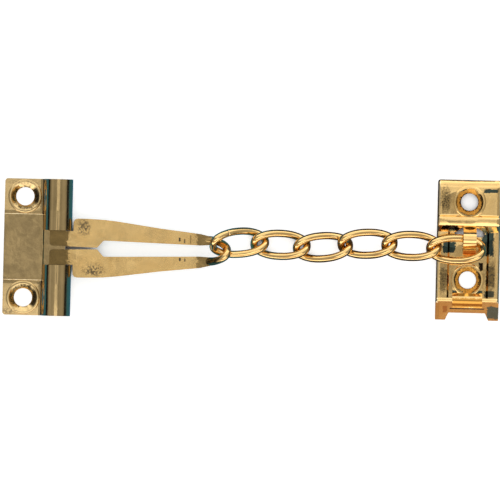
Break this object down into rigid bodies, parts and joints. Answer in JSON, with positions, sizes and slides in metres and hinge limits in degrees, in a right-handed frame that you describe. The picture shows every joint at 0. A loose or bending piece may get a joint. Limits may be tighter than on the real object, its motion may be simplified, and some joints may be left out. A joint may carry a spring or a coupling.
{
  "type": "door chain guard",
  "caption": "Door guard with a screw-on frame plate, a slotted hairpin arm hinged in two knuckles, a twisted curb chain and a screw-on keeper that straps the last link.",
  "frame": {"origin": "midway between the two screw holes of the frame plate, on the plane that its back lies on", "axes": "+X from the frame plate along the arm and chain to the keeper, +Y along the hinge line, +Z out of the door and frame"},
  "size_m": [0.149, 0.0438, 0.0086],
  "materials": {
    "plated_plate": "polished brass plating",
    "plated_arm": "polished brass plating",
    "plated_wire": "polished brass plating"
  },
  "bodies": {
    "frame": {"frame_plate": "plated_plate"},
    "arm": {"hinge_arm": "plated_arm"},
    "link_1": {"chain_link_1": "plated_wire"},
    "link_2": {"chain_link_2": "plated_wire"},
    "link_3": {"chain_link_3": "plated_wire"},
    "link_4": {"chain_link_4": "plated_wire"},
    "link_5": {"chain_link_5": "plated_wire"},
    "link_6": {"chain_link_6": "plated_wire"},
    "keeper": {"keeper_housing": "plated_plate", "keeper_tongue": "plated_arm"}
  },
  "joints": [
    {"name": "arm_hinge", "type": "hinge", "parent": "frame", "child": "arm", "pos_m": [0.0101, 0, 0.0043], "axis": [0, -1, 0], "range_deg": [0, 170]},
    {"name": "loop_link_1", "type": "hinge", "parent": "arm", "child": "link_1", "pos_m": [0.0609, 0.00107, 0.00484], "axis": [-0.3494, 0.6702, -0.6549], "range_deg": [-30, 30]},
    {"name": "link_1_link_2", "type": "hinge", "parent": "link_1", "child": "link_2", "pos_m": [0.07233, 0.00374, 0.00222], "axis": [-0.2072, 0.7146, -0.6681], "range_deg": [-30, 18]},
    {"name": "link_2_link_3", "type": "hinge", "parent": "link_2", "child": "link_3", "pos_m": [0.08186, 0.00129, 0.00251], "axis": [-0.1109, 0.7247, 0.68], "range_deg": [-30, 16]},
    {"name": "link_3_link_4", "type": "hinge", "parent": "link_3", "child": "link_4", "pos_m": [0.09766, 0.00249, 0.00379], "axis": [0.0284, 0.7134, -0.7002], "range_deg": [-30, 30]},
    {"name": "link_4_link_5", "type": "hinge", "parent": "link_4", "child": "link_5", "pos_m": [0.111, 0.00392, 0.0046], "axis": [0.0068, 0.71, -0.7041], "range_deg": [-30, 22]},
    {"name": "link_5_link_6", "type": "hinge", "parent": "link_5", "child": "link_6", "pos_m": [0.12175, 0.00247, 0.00499], "axis": [-0.0458, 0.7061, 0.7066], "range_deg": [-30, 30]},
    {"name": "link_6_keeper", "type": "hinge", "parent": "link_6", "child": "keeper", "pos_m": [0.13372, 0.00541, 0.0046], "axis": [0, 0, 1], "range_deg": [-18, 3]}
  ]
}
